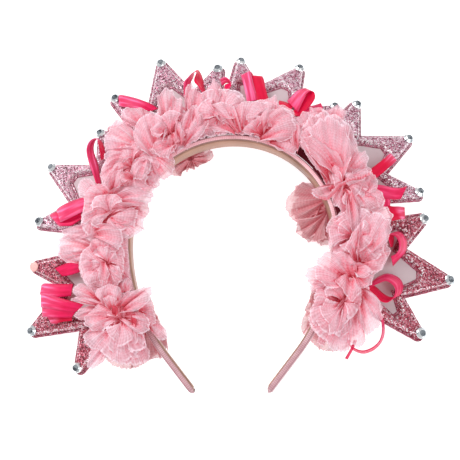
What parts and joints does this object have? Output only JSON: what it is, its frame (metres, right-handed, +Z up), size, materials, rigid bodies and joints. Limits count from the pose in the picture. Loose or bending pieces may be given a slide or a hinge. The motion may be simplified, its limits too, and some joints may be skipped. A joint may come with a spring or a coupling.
{
  "type": "crown headband",
  "caption": "Stiff satin hoop worn over the head, with a row of gathered tulle flowers, padded three-point crowns with film windows and cut stones, and ribbon bows.",
  "frame": {"origin": "centre of the part in plan, on the surface that it lies on", "axes": "+X to the right across the hoop, +Y from the leg tips to the top of the arch, +Z up, from the crowns' backs to the tulle flowers on the front edge"},
  "size_m": [0.2579, 0.2178, 0.0528],
  "materials": {
    "satin": "pale pink satin with fine cross ribs",
    "lining": "gold-beige satin lining on the inner face",
    "glitter_silver": "padded silver-pink glitter cloth",
    "glitter_rose": "padded deep rose glitter cloth",
    "film": "smooth mauve-pink film",
    "stone": "silver-backed cut acrylic stone",
    "glue_spot": "salmon spot where a stone is missing",
    "ribbon": "hot pink satin ribbon",
    "tulle": "pale pink gathered net"
  },
  "bodies": {
    "root": {"satin_cover": "satin", "hoop_lining": "lining", "crown_a": "glitter_rose", "window_a": "film", "crown_b": "glitter_silver", "window_b": "film", "crown_c": "glitter_silver", "window_c": "film", "crown_d": "glitter_silver", "window_d": "film", "crown_e": "glitter_silver", "window_e": "film", "crown_f": "glitter_rose", "window_f": "film", "stone_a_left": "stone", "stone_a_middle": "stone", "bare_tip_a_right": "glue_spot", "stone_b_left": "stone", "stone_b_middle": "stone", "stone_b_right": "stone", "stone_c_left": "stone", "stone_c_middle": "stone", "stone_c_right": "stone", "stone_d_left": "stone", "stone_d_middle": "stone", "stone_d_right": "stone", "stone_e_left": "stone", "stone_e_middle": "stone", "stone_e_right": "stone", "stone_f_left": "stone", "stone_f_middle": "stone", "stone_f_right": "stone", "bow_1": "ribbon", "bow_2": "ribbon", "bow_3": "ribbon", "bow_4": "ribbon", "bow_5": "ribbon", "bow_6": "ribbon", "bow_7": "ribbon", "bow_8": "ribbon", "bow_9": "ribbon", "bow_10": "ribbon", "bow_11": "ribbon", "bow_12": "ribbon", "flower_1": "tulle", "flower_2": "tulle", "flower_3": "tulle", "flower_4": "tulle", "flower_5": "tulle", "flower_6": "tulle", "flower_7": "tulle", "flower_8": "tulle", "flower_9": "tulle", "flower_10": "tulle", "flower_11": "tulle", "back_flower_1": "tulle", "back_flower_2": "tulle", "back_flower_3": "tulle", "back_flower_4": "tulle"}
  },
  "joints": []
}
